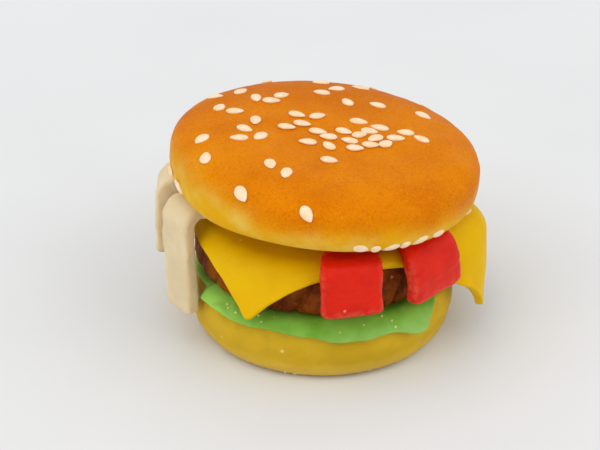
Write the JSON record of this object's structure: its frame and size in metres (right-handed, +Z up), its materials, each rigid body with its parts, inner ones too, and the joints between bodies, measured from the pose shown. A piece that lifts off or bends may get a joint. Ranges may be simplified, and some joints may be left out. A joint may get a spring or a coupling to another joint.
{
  "type": "model hamburger",
  "caption": "Small confectioner's hamburger of stacked almond-paste pieces: two bun halves, patty, draped cheese, leaf and strips, with sesame seeds.",
  "frame": {"origin": "middle of the bottom bun's flat underside, where the model stands", "axes": "+Z up through the stack; +X towards the corner of the cheese that hangs free; -Y towards the front, where the wide red strip hangs"},
  "size_m": [0.064, 0.059, 0.0433],
  "materials": {
    "bun_bottom": "yellow almond paste, matte, faintly grainy",
    "lettuce": "green almond paste, soft sheen",
    "patty": "dark brown almond paste, coarse and knife-scored",
    "cheese": "bright yellow almond paste, smooth",
    "red_strip": "red almond paste with a sugary bloom",
    "white_strip": "uncoloured almond paste, cream",
    "bun_top": "yellow almond paste airbrushed orange-brown on its crown",
    "sesame": "dry sesame seed, cream"
  },
  "bodies": {
    "bottom_bun": {"bottom_bun": "bun_bottom"},
    "lettuce": {"lettuce_leaf": "lettuce"},
    "patty": {"patty": "patty"},
    "cheese": {"cheese_slice": "cheese"},
    "strips": {"red_strip_front": "red_strip", "red_strip_side": "red_strip", "white_strip_front": "white_strip", "white_strip_rear": "white_strip"},
    "top_bun": {"top_bun": "bun_top", "seeds_cluster": "sesame", "seeds_left": "sesame", "seeds_back": "sesame", "seeds_front": "sesame", "seeds_rim": "sesame"}
  },
  "joints": [
    {"name": "lettuce_lift", "type": "slide", "parent": "bottom_bun", "child": "lettuce", "axis": [0, 0, 1], "range_m": [0, 0.024]},
    {"name": "patty_lift", "type": "slide", "parent": "lettuce", "child": "patty", "axis": [0, 0, 1], "range_m": [0, 0.024]},
    {"name": "cheese_lift", "type": "slide", "parent": "patty", "child": "cheese", "axis": [0, 0, 1], "range_m": [0, 0.024]},
    {"name": "strips_lift", "type": "slide", "parent": "cheese", "child": "strips", "axis": [0, 0, 1], "range_m": [0, 0.024]},
    {"name": "top_bun_lift", "type": "slide", "parent": "strips", "child": "top_bun", "axis": [0, 0, 1], "range_m": [0, 0.024]}
  ]
}
